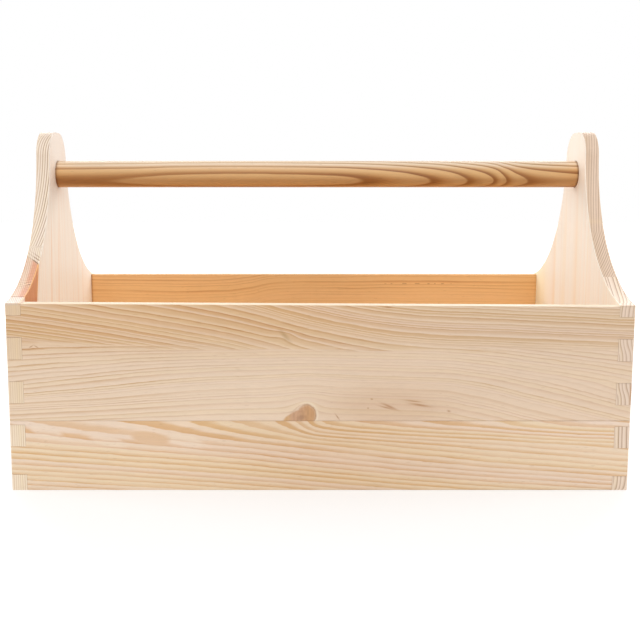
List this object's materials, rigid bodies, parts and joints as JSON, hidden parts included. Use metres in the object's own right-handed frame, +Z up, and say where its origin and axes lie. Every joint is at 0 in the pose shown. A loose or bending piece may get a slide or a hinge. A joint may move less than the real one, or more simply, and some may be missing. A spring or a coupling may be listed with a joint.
{
  "type": "wooden toolbox",
  "caption": "Open wooden toolbox with finger-jointed pine walls, raised reverse-curve end panels and a round carrying handle between them.",
  "frame": {"origin": "on the floor under the middle of the box", "axes": "+X along the handle to the right-hand end panel, +Y from the front wall to the back wall, +Z up"},
  "size_m": [0.5, 0.275, 0.294],
  "materials": {
    "pine_wall": "planed and sanded pine boards under a thin clear matt coat",
    "pine_end": "planed and sanded edge-glued pine, paler, under a thin clear matt coat",
    "pine_handle": "turned pine dowel, warm brown, satin",
    "plywood": "sanded light plywood",
    "zinc_steel": "zinc-plated wood screws"
  },
  "bodies": {
    "root": {"front_upper_board": "pine_wall", "front_lower_board": "pine_wall", "back_upper_board": "pine_wall", "back_lower_board": "pine_wall", "left_end_panel": "pine_end", "right_end_panel": "pine_end", "handle_dowel": "pine_handle", "bottom_panel": "plywood", "left_handle_screw": "zinc_steel", "right_handle_screw": "zinc_steel"}
  },
  "joints": []
}
